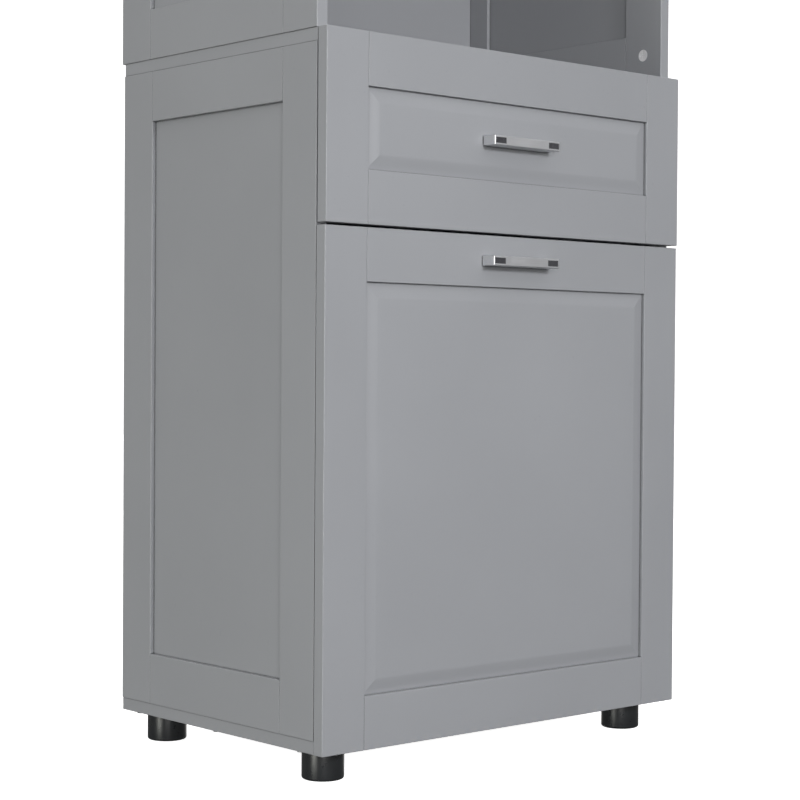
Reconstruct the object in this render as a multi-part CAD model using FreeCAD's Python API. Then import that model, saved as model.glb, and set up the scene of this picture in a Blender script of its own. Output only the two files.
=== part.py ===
import FreeCAD, Part
import os

# Tall pantry cabinet: a base with a drawer over a tilting bin front, and a hutch
# with an open bay under a two-door cupboard.
# Millimetres. X is the width, -Y the front, +Z up. The origin is the middle of
# the footprint at floor level.

# ---- Driving dimensions ----
WIDTH = 580.0                 # over the side frames
DEPTH = 373.0                 # base carcass, front edge to rear edge
HUTCH_EXTRA_DEPTH = 5.0       # the hutch sides reach this much further back
BOARD = 15.0                  # every board, bar and front
BAR = 60.0                    # width of each stile and rail
EASE = 0.8                    # rounding along the painted edges
BOARD_INSET = 1.0             # horizontal boards stand back from the side faces

FOOT_HEIGHT = 36.0
FOOT_RADIUS = 24.0
FOOT_EDGE_RADIUS = 3.0
FOOT_FROM_SIDE = 43.0
FOOT_FROM_END = 35.0
FOOT_WEB = 12.0               # solid top of the foot, over the sunk screw head
FOOT_SINK_RADIUS = 6.0
FOOT_SCREW_RADIUS = 2.1
FOOT_SCREW_PLAY = 0.1
FOOT_SCREW_BITE = 12.0
FOOT_SCREW_HEAD_RADIUS = 4.2
FOOT_SCREW_HEAD = 2.5

BASE_HEIGHT = 793.0           # underside of the bottom board to the counter top
DRAWER_FRONT_HEIGHT = 212.0
REVEAL = 3.0                  # gap between neighbouring fronts
BAY_HEIGHT = 365.0            # clear height of the open bay
CUPBOARD_HEIGHT = 576.0       # clear height behind the two doors

DRAWER_GAP = 2.2              # drawer front's back to the carcass edges
BIN_GAP = 0.8                 # the same behind the bin front
DOOR_GAP = 2.0                # and behind the two doors
GROOVE_DEPTH = 8.0
PANEL_DROP = 4.5              # step from a front bar down to its raised panel
PANEL_EDGE = 6.0              # raised panel's tongue thickness
BEVEL_WIDTH = 20.0
BEVEL_RISE = 3.0
SIDE_PANEL = 4.0              # flat panel thickness in the side frames
PANEL_PLAY = 0.5              # panel edge to the groove's bottom

BACK_PANEL = 3.0
BACK_INSET = 17.0             # back panel's rear face to the base's rear edge
BACK_GROOVE = 6.0

HANDLE_LENGTH = 108.0
HANDLE_PROJECTION = 20.0
HANDLE_BAR = 11.0             # height of the grip's face
HANDLE_GRIP = 6.0             # thickness of the grip
HANDLE_LIP = 2.0              # thickness of the lip that closes one long side
HANDLE_POST = 12.0
HANDLE_ROUND = 1.2
INSERT_LENGTH = 17.5
INSERT_HEIGHT = 7.0
INSERT_DEPTH = 1.0
INSERT_MARGIN = 1.5           # from the handle's end to the insert
HANDLE_SCREW_RADIUS = 2.0
HANDLE_SCREW_BITE = 10.0
SCREW_HEAD_RADIUS = 4.0
SCREW_HEAD = 2.0
FRONT_SCREW_RADIUS = 2.0      # drawer box and bin cleats to their fronts
FRONT_SCREW_BITE = 8.0

DRAWER_WALL = 12.0
DRAWER_BOX_HEIGHT = 128.0
DRAWER_BOX_LIFT = 12.0        # divider board to the drawer sides
DRAWER_REAR_PLAY = 5.2        # drawer box to the back panel
DRAWER_FLOOR = 4.0
DRAWER_FLOOR_LIFT = 8.0
SLIDE_REAR_PLAY = 2.0         # slide to the back panel
SLIDE_SETBACK = 1.0
SLIDE_THICK = 12.7            # side frame to drawer side
SLIDE_HEIGHT = 45.0
SLIDE_SHEET = 1.2
SLIDE_RACE = 3.2              # flange of the middle member with its ball row
SLIDE_PLAY = 0.4
SLIDE_TIP_PLAY = 1.5          # flange tips to the drawer member's web
SLIDE_SCREW_RADIUS = 1.8
SLIDE_SCREW_BITE = 9.0
SLIDE_SCREW_HEAD_RADIUS = 3.0
SLIDE_SCREW_HEAD = 0.9
SLIDE_SCREW_FROM_FRONT = 25.0
SLIDE_SCREW_FROM_REAR = 18.0

BIN_DEPTH = 240.0
BIN_WALL = 12.0
BIN_SIDE_CLEARANCE = 8.0
BIN_FLOOR_CLEARANCE = 3.0
BIN_CHEEK_PLAY = 7.4          # cheek's top rear corner to the stop rail as it swings under
BIN_BACK_OVERREACH = 25.0     # how much further the back board's corner swings, to meet the rail
BIN_CHEEK_SHOULDER = 60.0     # level stretch at the front of the cheek's top edge
BIN_CHEEK_CLEARANCE = 6.0     # cheek's top edge to the catch
BIN_CHEEK_ROUND = 4.0
CLEAT_WIDTH = 20.0
CLEAT_TOP_GAP = 10.0
CLEAT_SCREW_INSET = 80.0
STOP_RAIL_HEIGHT = 39.0

HINGE_RADIUS = 2.5
HINGE_PIN_RADIUS = 1.25
HINGE_PLAY = 0.05             # running fit of the pin in its knuckles
HINGE_LENGTH = 60.0
HINGE_KNUCKLE_GAP = 0.4
HINGE_LEAF = 1.5
HINGE_LEAF_WIDTH = 24.0
HINGE_RELIEF = 0.4            # room round the knuckles in the two boards
HINGE_DROP = 0.5              # pin axis below the bottom board
HINGE_OFFSET = 190.0          # hinge centre from the cabinet's middle
HINGE_FRONT_MARGIN = 2.0      # front leaf's rim to the bin front's face
HINGE_SCREW_RADIUS = 1.3
HINGE_SCREW_BITE = 9.0
HINGE_SCREW_HEAD_RADIUS = 2.4
HINGE_SCREW_HEAD = 0.8
HINGE_SCREW_STEP = 20.0

PIVOT_FROM_EDGE = 5.0         # door pivot to the door's outer edge
PIVOT_FROM_BACK = 8.0         # door pivot to the door's back face
PIVOT_PIN_RADIUS = 2.0
PIVOT_PLAY = 0.05
PIVOT_PIN_LENGTH = 10.0
PIVOT_PLATE = 1.5
PIVOT_DOOR_CLEARANCE = 0.5
DOOR_PULL_RISE = 20.0         # bottom rail to the door's handle
PIVOT_PLATE_WIDTH = 34.0
PIVOT_PLATE_REACH = 45.0
PIVOT_PLATE_MARGIN = 2.0      # plate's nose to the door's face
PIVOT_BORE_SPARE = 1.0        # bore depth past the pin's end
PIVOT_SCREW_RADIUS = 1.5
PIVOT_SCREW_BITE = 10.0
PIVOT_SCREW_HEAD_RADIUS = 3.0
PIVOT_SCREW_HEAD = 1.0
PIVOT_SCREW_PLACES = (15.0, 35.0)

CAM_RADIUS = 7.5
CAM_DEPTH = 12.0
CAM_FROM_END = 34.0
CAM_FROM_EDGE = 30.0          # front cam to the frame's front edge
CAM_FROM_BACK = 16.0          # rear cam to the back panel
CAM_SLOT = 1.6
CAM_BOLT_RADIUS = 3.0
CAM_BOLT_REACH = 3.5          # bolt's end to the disc's centre
CAM_BOLT_BITE = 7.0           # bolts from above and below share the counter board

PIN_RADIUS = 2.5
PIN_BITE = 8.0
PIN_FROM_EDGE = 37.0          # front shelf pin to the frame's front edge
PIN_FROM_BACK = 18.0          # rear shelf pin to the back panel
SHELF_SIDE_PLAY = 1.0
SHELF_FRONT_SETBACK = 6.0
SHELF_RISE = 280.0            # fixed shelf to the underside of the loose shelf

BASE_SCREW_HEAD = 1.6
BASE_SCREW_RADIUS = 4.5
BASE_SCREW_SHANK = 2.0
BASE_SCREW_LENGTH = 40.0
BASE_SCREW_INSET = 30.0
CATCH_WIDTH = 40.0
CATCH_HEIGHT = 12.0
CATCH_DEPTH = 13.5
CATCH_SETBACK = 0.5           # catch's face behind the carcass edges
STRIKE = 0.8
STRIKE_HEIGHT = 10.0
STRIKE_WIDTH = 14.0
BRACKET_WIDTH = 30.0
BRACKET_LEG = 25.0
BRACKET_SHEET = 2.0
BRACKET_HOLE_RADIUS = 2.75
BRACKET_OFFSET = 200.0
BRACKET_SCREW_RADIUS = 1.8
BRACKET_SCREW_BITE = 11.0
BRACKET_SCREW_HEAD_RADIUS = 3.6
BRACKET_SCREW_HEAD = 1.6

# ---- Derived places ----
half = WIDTH / 2
inner = half - BOARD
hutch_depth = DEPTH + HUTCH_EXTRA_DEPTH
field_sink = PANEL_DROP - BEVEL_RISE             # raised field below the bars' face
widest_gap = max(BIN_GAP, DOOR_GAP, DRAWER_GAP - field_sink)
overall_depth = HANDLE_PROJECTION + BOARD + widest_gap + hutch_depth
hutch_rear = overall_depth / 2
carcass_front = hutch_rear - hutch_depth
base_rear = carcass_front + DEPTH
drawer_back = carcass_front - DRAWER_GAP        # back faces of the fronts, then their faces
bin_back = carcass_front - BIN_GAP
door_back = carcass_front - DOOR_GAP
drawer_face = drawer_back - BOARD
bin_face = bin_back - BOARD
door_face = door_back - BOARD
back_rear = base_rear - BACK_INSET
back_front = back_rear - BACK_PANEL

base_z = FOOT_HEIGHT
floor_z = base_z + BOARD                        # top of the bottom board
counter_top = base_z + BASE_HEIGHT
counter_under = counter_top - BOARD
drawer_front_z = counter_top - DRAWER_FRONT_HEIGHT
bin_front_top = drawer_front_z - REVEAL
divider_top = bin_front_top
divider_under = divider_top - BOARD
bay_top = counter_top + BAY_HEIGHT
cupboard_floor = bay_top + BOARD
top_under = cupboard_floor + CUPBOARD_HEIGHT
top_z = top_under + BOARD

drawer_half = inner - SLIDE_THICK
drawer_z = divider_top + DRAWER_BOX_LIFT
slide_z = drawer_z + DRAWER_BOX_HEIGHT / 2
pin_y = carcass_front - BIN_GAP / 2             # bin hinge axis
pin_z = base_z - HINGE_DROP
slide_front = carcass_front + SLIDE_SETBACK
slide_length = back_front - SLIDE_REAR_PLAY - slide_front
stop_rail_under = divider_under - STOP_RAIL_HEIGHT
cheek_reach = stop_rail_under - pin_z - BIN_CHEEK_PLAY     # hinge pin to the cheek's top rear corner
back_reach = cheek_reach + BIN_BACK_OVERREACH
pivot_x = half - PIVOT_FROM_EDGE
pivot_y = door_back - PIVOT_FROM_BACK
door_width = (WIDTH - REVEAL) / 2


def vec(x, y, z):
    return FreeCAD.Vector(x, y, z)


UP = vec(0, 0, 1)
ACROSS = vec(1, 0, 0)
REARWARD = vec(0, 1, 0)


def block(x0, x1, y0, y1, z0, z1):
    return Part.makeBox(x1 - x0, y1 - y0, z1 - z0, vec(x0, y0, z0))


def eased(shape, radius=EASE):
    """The same solid with all of its edges rounded."""
    return shape.makeFillet(radius, shape.Edges)


def board(x0, x1, y0, y1, z0, z1):
    return eased(block(x0, x1, y0, y1, z0, z1))


def rod(radius, start, axis, length):
    return Part.makeCylinder(radius, length, start, axis)


def mirrored(shape):
    return shape.mirror(vec(0, 0, 0), ACROSS)


def both_sides(shape):
    return [shape, mirrored(shape)]


def save(name, solids):
    Part.makeCompound(solids).exportStep("parts/" + name + ".step")


def screw(seat, axis, shank_radius, bite, head_radius, head):
    """A shank running bite along axis from its seat, with its head on the other side."""
    back = vec(seat.x - axis.x * head, seat.y - axis.y * head, seat.z - axis.z * head)
    return rod(shank_radius, seat, axis, bite).fuse(rod(head_radius, back, axis, head))


def rounded_prism(points, axis_vector, radius, axis):
    """An outline pushed along axis_vector, its edges along that axis rounded."""
    face = Part.Face(Part.makePolygon([*points, points[0]]))
    solid = face.extrude(axis_vector)
    long_edges = [e for e in solid.Edges if abs(e.tangentAt(e.FirstParameter).dot(axis)) > 0.99]
    return solid.makeFillet(radius, long_edges)


# ---- Framed panels ----
def frame_bars(width, height, groove_from, groove_width):
    """Two stiles with two rails between them, grooved for a panel.

    Drawn upright: width along X, outer face at Y = 0, thickness towards +Y."""
    inside = block(BAR - GROOVE_DEPTH, width - BAR + GROOVE_DEPTH,
                   groove_from, groove_from + groove_width,
                   BAR - GROOVE_DEPTH, height - BAR + GROOVE_DEPTH)
    bars = [board(0, BAR, 0, BOARD, 0, height),
            board(width - BAR, width, 0, BOARD, 0, height),
            board(BAR, width - BAR, 0, BOARD, 0, BAR),
            board(BAR, width - BAR, 0, BOARD, height - BAR, height)]
    return [bar.cut(inside) for bar in bars]


def flat_panel(width, height, face_from, thickness):
    reach = BAR - GROOVE_DEPTH + PANEL_PLAY
    return block(reach, width - reach, face_from, face_from + thickness, reach, height - reach)


def raised_panel(width, height):
    """A tongued panel whose face rises in a flat bevel to a level middle field."""
    tongue = flat_panel(width, height, PANEL_DROP, PANEL_EDGE)
    inset = BAR + BEVEL_WIDTH
    raise_up = Part.makeWedge(BAR, 0, BAR, inset, inset, width - BAR, BEVEL_RISE, height - BAR,
                              height - inset, width - inset)
    raise_up.rotate(vec(0, 0, 0), ACROSS, 180)
    raise_up.translate(vec(0, PANEL_DROP, height))
    return tongue.fuse(raise_up).removeSplitter()


def put(shapes, x, y, z):
    for shape in shapes:
        shape.translate(vec(x, y, z))
    return shapes


def side_frame(depth, z0, z1, drills):
    """Left side frame and panel, outer face at the cabinet's left side."""
    groove_from = (BOARD - SIDE_PANEL) / 2
    bars = frame_bars(depth, z1 - z0, groove_from, SIDE_PANEL)
    panel = flat_panel(depth, z1 - z0, groove_from, SIDE_PANEL)
    for shape in [*bars, panel]:
        shape.rotate(vec(0, 0, 0), UP, -90)
        shape.translate(vec(-half, carcass_front + depth, z0))
    return [bar.cut(drills) for bar in bars], panel


# ---- Cam fittings: a disc in each stile end draws a bolt out of the board ----
# The base frames are screwed to the bottom board, so only their upper ends have cams.
cam_ends = [(counter_under - CAM_FROM_END, counter_under), (counter_top + CAM_FROM_END, counter_top),
            (top_under - CAM_FROM_END, top_under)]
cam_places = [(y, cam_z, board_z) for cam_z, board_z in cam_ends
              for y in (carcass_front + CAM_FROM_EDGE, back_front - CAM_FROM_BACK)]


def cam_disc(y, z):
    disc = rod(CAM_RADIUS, vec(-inner - CAM_DEPTH, y, z), ACROSS, CAM_DEPTH)
    reach = CAM_RADIUS - 2
    for half_y, half_z in ((reach, CAM_SLOT / 2), (CAM_SLOT / 2, reach)):
        disc = disc.cut(block(-inner - CAM_SLOT, -inner, y - half_y, y + half_y, z - half_z, z + half_z))
    return disc


def cam_bolt(y, cam_z, board_z):
    """From inside the disc into the board."""
    way = 1 if board_z > cam_z else -1
    start = cam_z + way * CAM_BOLT_REACH
    end = board_z + way * CAM_BOLT_BITE
    return rod(CAM_BOLT_RADIUS, vec(-half + BOARD / 2, y, min(start, end)), UP, abs(end - start))


side_spans = {"lower": (DEPTH, floor_z, counter_under), "upper": (hutch_depth, counter_top, top_under)}
cam_discs = []
cam_bolts = []
cam_pockets = []
for y, cam_z, board_z in cam_places:
    bolt = cam_bolt(y, cam_z, board_z)
    cam_discs += both_sides(cam_disc(y, cam_z).cut(bolt))
    cam_bolts += both_sides(bolt)
    cam_pockets.append(rod(CAM_RADIUS, vec(-inner - CAM_DEPTH, y, cam_z), ACROSS, CAM_DEPTH))
save("cam_locks", cam_discs)
save("cam_bolts", cam_bolts)
bolts_cut = Part.makeCompound(cam_bolts)

# ---- Shelf pins, slide screws and the grooves that the side frames carry ----
loose_shelf_z = cupboard_floor + SHELF_RISE
pin_places = (carcass_front + PIN_FROM_EDGE, back_front - PIN_FROM_BACK)
left_pins = [rod(PIN_RADIUS, vec(-inner - PIN_BITE, y, loose_shelf_z - PIN_RADIUS), ACROSS, 2 * PIN_BITE)
             for y in pin_places]
save("shelf_pins", [pin for left in left_pins for pin in both_sides(left)])

slide_screw_places = (slide_front + SLIDE_SCREW_FROM_FRONT,
                      slide_front + slide_length - SLIDE_SCREW_FROM_REAR)
left_slide_screws = [screw(vec(-inner + SLIDE_SHEET, y, slide_z), -ACROSS, SLIDE_SCREW_RADIUS,
                           SLIDE_SCREW_BITE + SLIDE_SHEET, SLIDE_SCREW_HEAD_RADIUS, SLIDE_SCREW_HEAD)
                     for y in slide_screw_places]
save("slide_screws", [s for left in left_slide_screws for s in both_sides(left)])

base_screw_places = (carcass_front + BASE_SCREW_INSET, (carcass_front + base_rear) / 2,
                     base_rear - BASE_SCREW_INSET)
left_base_screws = []
for y in base_screw_places:
    x = -half + BOARD / 2
    head = rod(BASE_SCREW_RADIUS, vec(x, y, base_z - BASE_SCREW_HEAD), UP, BASE_SCREW_HEAD)
    head = head.makeFillet(BASE_SCREW_HEAD * 0.6, [min(head.Edges, key=lambda e: e.CenterOfMass.z)])
    left_base_screws.append(head.fuse(rod(BASE_SCREW_SHANK, vec(x, y, base_z), UP, BASE_SCREW_LENGTH)))

foot_screws = []
feet = []
for x in (-half + FOOT_FROM_SIDE, half - FOOT_FROM_SIDE):
    for y in (carcass_front + FOOT_FROM_END, base_rear - FOOT_FROM_END):
        bore = rod(FOOT_SCREW_RADIUS + FOOT_SCREW_PLAY, vec(x, y, 0), UP, FOOT_HEIGHT)
        sink = rod(FOOT_SINK_RADIUS, vec(x, y, 0), UP, FOOT_HEIGHT - FOOT_WEB)
        foot = rod(FOOT_RADIUS, vec(x, y, 0), UP, FOOT_HEIGHT)
        foot = foot.makeFillet(FOOT_EDGE_RADIUS, [min(foot.Edges, key=lambda e: e.CenterOfMass.z)])
        feet.append(foot.cut(bore.fuse(sink)))
        foot_screws.append(screw(vec(x, y, FOOT_HEIGHT - FOOT_WEB), UP, FOOT_SCREW_RADIUS,
                                 FOOT_WEB + FOOT_SCREW_BITE, FOOT_SCREW_HEAD_RADIUS, FOOT_SCREW_HEAD))
save("feet", feet)
base_screws = [s for left in left_base_screws for s in both_sides(left)] + foot_screws
save("base_screws", base_screws)

# ---- Side frames with their flat panels ----
back_groove = block(-inner - BACK_GROOVE, -inner, back_front, back_rear, floor_z, top_under)
side_drills = Part.makeCompound(
    cam_pockets + cam_bolts + left_pins + left_slide_screws + left_base_screws + [back_groove])
for level, (depth, z0, z1) in side_spans.items():
    bars, panel = side_frame(depth, z0, z1, side_drills)
    save(level + "_frame_left", bars)
    save(level + "_frame_right", [mirrored(bar) for bar in bars])
    save(level + "_panel_left", [panel])
    save(level + "_panel_right", [mirrored(panel)])

# ---- Horizontal boards and back panels ----
board_half = half - BOARD_INSET
bottom_board = board(-board_half, board_half, carcass_front, base_rear, base_z, floor_z)
counter_board = board(-board_half, board_half, carcass_front, base_rear, counter_under, counter_top)
save("counter_board", [counter_board.cut(bolts_cut)])
save("divider_board", [board(-inner, inner, carcass_front, back_front, divider_under, divider_top)])
top_board = board(-board_half, board_half, carcass_front, hutch_rear, top_under, top_z)
shelf_half = inner - SHELF_SIDE_PLAY
save("loose_shelf", [board(-shelf_half, shelf_half, carcass_front + SHELF_FRONT_SETBACK,
                           back_front - SHELF_SIDE_PLAY, loose_shelf_z, loose_shelf_z + BOARD)])
back_half = inner + BACK_GROOVE - PANEL_PLAY
save("lower_back", [block(-back_half, back_half, back_front, back_rear, floor_z, counter_under)])
save("upper_back", [block(-back_half, back_half, back_front, back_rear, counter_top, top_under)])
save("stop_rail", [board(-inner, inner, carcass_front, carcass_front + BOARD,
                         stop_rail_under, divider_under)])

# ---- Wall brackets ----
brackets = []
bracket_screws = []
for x in (-BRACKET_OFFSET, BRACKET_OFFSET):
    x0 = x - BRACKET_WIDTH / 2
    x1 = x + BRACKET_WIDTH / 2
    y0 = hutch_rear - BRACKET_LEG
    foot_leg = block(x0, x1, y0, hutch_rear, top_z, top_z + BRACKET_SHEET)
    wall_leg = block(x0, x1, hutch_rear - BRACKET_SHEET, hutch_rear, top_z, top_z + BRACKET_LEG)
    hole_z = top_z + BRACKET_LEG / 2 + BRACKET_SHEET
    wall_hole = rod(BRACKET_HOLE_RADIUS, vec(x, y0, hole_z), REARWARD, BRACKET_LEG)
    screw_y = hutch_rear - BRACKET_LEG / 2 - BRACKET_SHEET
    bracket_screw = screw(vec(x, screw_y, top_z + BRACKET_SHEET), -UP, BRACKET_SCREW_RADIUS,
                          BRACKET_SCREW_BITE + BRACKET_SHEET, BRACKET_SCREW_HEAD_RADIUS, BRACKET_SCREW_HEAD)
    bracket_screws.append(bracket_screw)
    brackets.append(foot_leg.fuse(wall_leg).removeSplitter().cut(wall_hole).cut(bracket_screw))
save("wall_brackets", brackets)

# ---- Door pivots: a knife plate with a pin above and below each door ----
plate_outer = -half + BOARD_INSET
plate_front = door_face + PIVOT_PLATE_MARGIN


def knife_plate(plate_z, pin_way):
    """A left plate, its pin standing pin_way, up or down, into the door's stile."""
    nose = block(plate_outer, -inner + PIVOT_PLATE_WIDTH - BOARD, plate_front, carcass_front,
                 plate_z, plate_z + PIVOT_PLATE)
    tail = block(-inner, -inner + PIVOT_PLATE_WIDTH - BOARD, carcass_front,
                 carcass_front + PIVOT_PLATE_REACH, plate_z, plate_z + PIVOT_PLATE)
    reach = PIVOT_PIN_LENGTH + PIVOT_PLATE
    pin_from = plate_z if pin_way > 0 else plate_z + PIVOT_PLATE - reach
    pin = rod(PIVOT_PIN_RADIUS, vec(-pivot_x, pivot_y, pin_from), UP, reach)
    return nose.fuse(tail).removeSplitter().fuse(pin)


def plate_screws(seat_z, drive):
    """Two screws from the plate's outer face, driven up or down into its board."""
    x = -inner + (PIVOT_PLATE_WIDTH - BOARD) / 2
    return [screw(vec(x, carcass_front + y, seat_z), drive, PIVOT_SCREW_RADIUS,
                  PIVOT_SCREW_BITE + PIVOT_PLATE, PIVOT_SCREW_HEAD_RADIUS, PIVOT_SCREW_HEAD)
            for y in PIVOT_SCREW_PLACES]


lower_plate_z = bay_top - PIVOT_PLATE
left_plates = [knife_plate(lower_plate_z, 1), knife_plate(top_z, -1)]
left_plate_screws = plate_screws(lower_plate_z, UP) + plate_screws(top_z + PIVOT_PLATE, -UP)
plates_cut = Part.makeCompound(left_plate_screws)
save("pivot_plates", [p for left in left_plates for p in both_sides(left.cut(plates_cut))])
plate_screw_pairs = [s for left in left_plate_screws for s in both_sides(left)]
top_board = top_board.cut(Part.makeCompound(cam_bolts + bracket_screws + plate_screw_pairs))
save("top_board", [top_board])
fixed_shelf = board(-inner, inner, carcass_front, back_front, bay_top, cupboard_floor)
save("fixed_shelf", [fixed_shelf.cut(Part.makeCompound(plate_screw_pairs))])

# ---- Butt hinges, let in flush under the bin front and the bottom board ----
knuckle = HINGE_LENGTH / 3


def hinge_leaf(x, way, knuckle_spans, screws):
    """Flat leaf from the pin axis, way 1 to the rear or -1 to the front, with its knuckles."""
    rim = pin_y + way * HINGE_LEAF_WIDTH
    if way < 0:
        rim = bin_face + HINGE_FRONT_MARGIN
    near = pin_y + way * (HINGE_RADIUS + HINGE_KNUCKLE_GAP)
    leaf = block(x - HINGE_LENGTH / 2, x + HINGE_LENGTH / 2, min(near, rim), max(near, rim),
                 base_z, base_z + HINGE_LEAF)
    bore = rod(HINGE_PIN_RADIUS + HINGE_PLAY, vec(x - HINGE_LENGTH, pin_y, pin_z), ACROSS,
               2 * HINGE_LENGTH)
    for start, end in knuckle_spans:
        ring = rod(HINGE_RADIUS, vec(x + start, pin_y, pin_z), ACROSS, end - start)
        web_y = near + way * HINGE_LEAF
        web = block(x + start, x + end, min(pin_y, web_y), max(pin_y, web_y),
                    base_z, base_z + HINGE_LEAF)
        leaf = leaf.fuse(ring.fuse(web))
    return leaf.cut(bore).cut(Part.makeCompound(screws)).removeSplitter()


middle_knuckle = [(-knuckle / 2, knuckle / 2)]
outer_knuckles = [(-HINGE_LENGTH / 2, -knuckle / 2 - HINGE_KNUCKLE_GAP),
                  (knuckle / 2 + HINGE_KNUCKLE_GAP, HINGE_LENGTH / 2)]
hinge_rooms = []
fixed_leaves = []
door_leaves = []
hinge_pins = []
fixed_hinge_screws = []
door_hinge_screws = []
front_leaf_middle = (pin_y - HINGE_RADIUS - HINGE_KNUCKLE_GAP + bin_face + HINGE_FRONT_MARGIN) / 2
rear_leaf_middle = pin_y + (HINGE_RADIUS + HINGE_KNUCKLE_GAP + HINGE_LEAF_WIDTH) / 2
for x in (-HINGE_OFFSET, HINGE_OFFSET):
    for screw_y, group in ((rear_leaf_middle, fixed_hinge_screws), (front_leaf_middle, door_hinge_screws)):
        for step in (-HINGE_SCREW_STEP, HINGE_SCREW_STEP):
            group.append(screw(vec(x + step, screw_y, base_z), UP, HINGE_SCREW_RADIUS,
                               HINGE_LEAF + HINGE_SCREW_BITE, HINGE_SCREW_HEAD_RADIUS, HINGE_SCREW_HEAD))
    fixed_leaves.append(hinge_leaf(x, 1, middle_knuckle, fixed_hinge_screws))
    door_leaves.append(hinge_leaf(x, -1, outer_knuckles, door_hinge_screws))
    mortise = block(x - HINGE_LENGTH / 2, x + HINGE_LENGTH / 2, bin_face + HINGE_FRONT_MARGIN,
                    pin_y + HINGE_LEAF_WIDTH, base_z, base_z + HINGE_LEAF)
    relief = rod(HINGE_RADIUS + HINGE_RELIEF, vec(x - HINGE_LENGTH / 2 - HINGE_RELIEF, pin_y, pin_z),
                 ACROSS, HINGE_LENGTH + 2 * HINGE_RELIEF)
    hinge_rooms.append(mortise.fuse(relief))
    hinge_pins.append(rod(HINGE_PIN_RADIUS, vec(x - HINGE_LENGTH / 2, pin_y, pin_z), ACROSS, HINGE_LENGTH))
save("hinge_leaves_fixed", fixed_leaves + hinge_pins)
save("hinge_leaves_bin", door_leaves)
save("carcass_screws", fixed_hinge_screws + plate_screw_pairs + bracket_screws)
bottom_holes = Part.makeCompound(base_screws + fixed_hinge_screws)
save("bottom_board", [bottom_board.cut(bottom_holes).cut(Part.makeCompound(hinge_rooms))])

# ---- Magnetic catches: one for the bin front, one for the pair of doors ----
catch_half = CATCH_WIDTH / 2
catch_face = carcass_front + CATCH_SETBACK
save("magnet_catches", [board(-catch_half, catch_half, catch_face, catch_face + CATCH_DEPTH,
                              under - CATCH_HEIGHT, under) for under in (stop_rail_under, top_under)])


def strike(x, face_y, under):
    """The steel plate that meets the catch, on the back of a front."""
    z = under - CATCH_HEIGHT / 2
    return block(x - STRIKE_WIDTH / 2, x + STRIKE_WIDTH / 2, face_y, face_y + STRIKE,
                 z - STRIKE_HEIGHT / 2, z + STRIKE_HEIGHT / 2)


# ---- Handles ----
def handle(x, y, z, turn=0):
    """A square pull on the face at y, centred on x and z: (grip, inserts, screws).

    Two posts carry the grip, and a lip closes its lower side. A turn of 90 degrees either way
    stands it upright."""
    end = HANDLE_LENGTH / 2
    outline = [(-end, 0), (-end, -HANDLE_PROJECTION), (end, -HANDLE_PROJECTION), (end, 0),
               (end - HANDLE_POST, 0), (end - HANDLE_POST, HANDLE_GRIP - HANDLE_PROJECTION),
               (HANDLE_POST - end, HANDLE_GRIP - HANDLE_PROJECTION), (HANDLE_POST - end, 0)]
    low = -HANDLE_BAR / 2
    grip = rounded_prism([vec(px, py, low) for px, py in outline], vec(0, 0, HANDLE_BAR), HANDLE_ROUND, UP)
    face_edges = [e for e in grip.Edges if abs(e.CenterOfMass.y + HANDLE_PROJECTION) < 0.01]
    grip = grip.makeChamfer(0.5, face_edges)
    lip_end = end - HANDLE_POST + HANDLE_ROUND
    lip = block(-lip_end, lip_end, HANDLE_GRIP / 2 - HANDLE_PROJECTION, 0, low, low + HANDLE_LIP)
    grip = grip.fuse(lip).removeSplitter()
    inserts = []
    screws = []
    for side in (-1, 1):
        far = side * (end - INSERT_MARGIN)
        near = side * (end - INSERT_MARGIN - INSERT_LENGTH)
        pocket = block(min(near, far), max(near, far), -HANDLE_PROJECTION, INSERT_DEPTH - HANDLE_PROJECTION,
                       -INSERT_HEIGHT / 2, INSERT_HEIGHT / 2)
        grip = grip.cut(pocket)
        inserts.append(block(min(near, far), max(near, far), INSERT_DEPTH / 2 - HANDLE_PROJECTION,
                             INSERT_DEPTH - HANDLE_PROJECTION, -INSERT_HEIGHT / 2, INSERT_HEIGHT / 2))
        screws.append(side * (end - HANDLE_POST / 2))
    pieces = [grip, *inserts]
    if turn:
        for piece in pieces:
            piece.rotate(vec(0, 0, 0), REARWARD, turn)
    put(pieces, x, y, z)
    places = [(x, z + s) if turn else (x + s, z) for s in screws]
    return pieces[0], pieces[1:], places


def handle_screws(places, face_y, seat_y):
    """Machine screws from a head seated behind seat_y into the posts on face_y."""
    screws = []
    for x, z in places:
        start = face_y - HANDLE_SCREW_BITE
        shank = rod(HANDLE_SCREW_RADIUS, vec(x, start, z), REARWARD, seat_y - start)
        screws.append(shank.fuse(rod(SCREW_HEAD_RADIUS, vec(x, seat_y, z), REARWARD, SCREW_HEAD)))
    return screws


def front(name, x0, face_y, z0, width, height, pull, cuts, rooms=()):
    """A framed front with its raised panel and handle, the holes in it and the rooms for hinges."""
    bars = put(frame_bars(width, height, PANEL_DROP, PANEL_EDGE), x0, face_y, z0)
    panel = put([raised_panel(width, height)], x0, face_y, z0)[0]
    grip, inserts, screws = pull
    holes = Part.makeCompound(cuts + screws)
    for room in rooms:
        bars = [bar.cut(room) for bar in bars]
    save(name + "_frame", [bar.cut(holes) for bar in bars])
    save(name + "_panel", [panel.cut(holes)])
    save(name + "_handle", [grip.cut(Part.makeCompound(screws))])
    save(name + "_handle_inserts", inserts)


# ---- Drawer ----
box_rear = back_front - DRAWER_REAR_PLAY
box_front = drawer_back + DRAWER_WALL
drawer_top = drawer_z + DRAWER_BOX_HEIGHT
field_y = drawer_face + field_sink
drawer_handle_z = drawer_front_z + DRAWER_FRONT_HEIGHT / 2
grip, inserts, places = handle(0, field_y, drawer_handle_z)
drawer_pull_screws = handle_screws(places, field_y, box_front)

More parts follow.
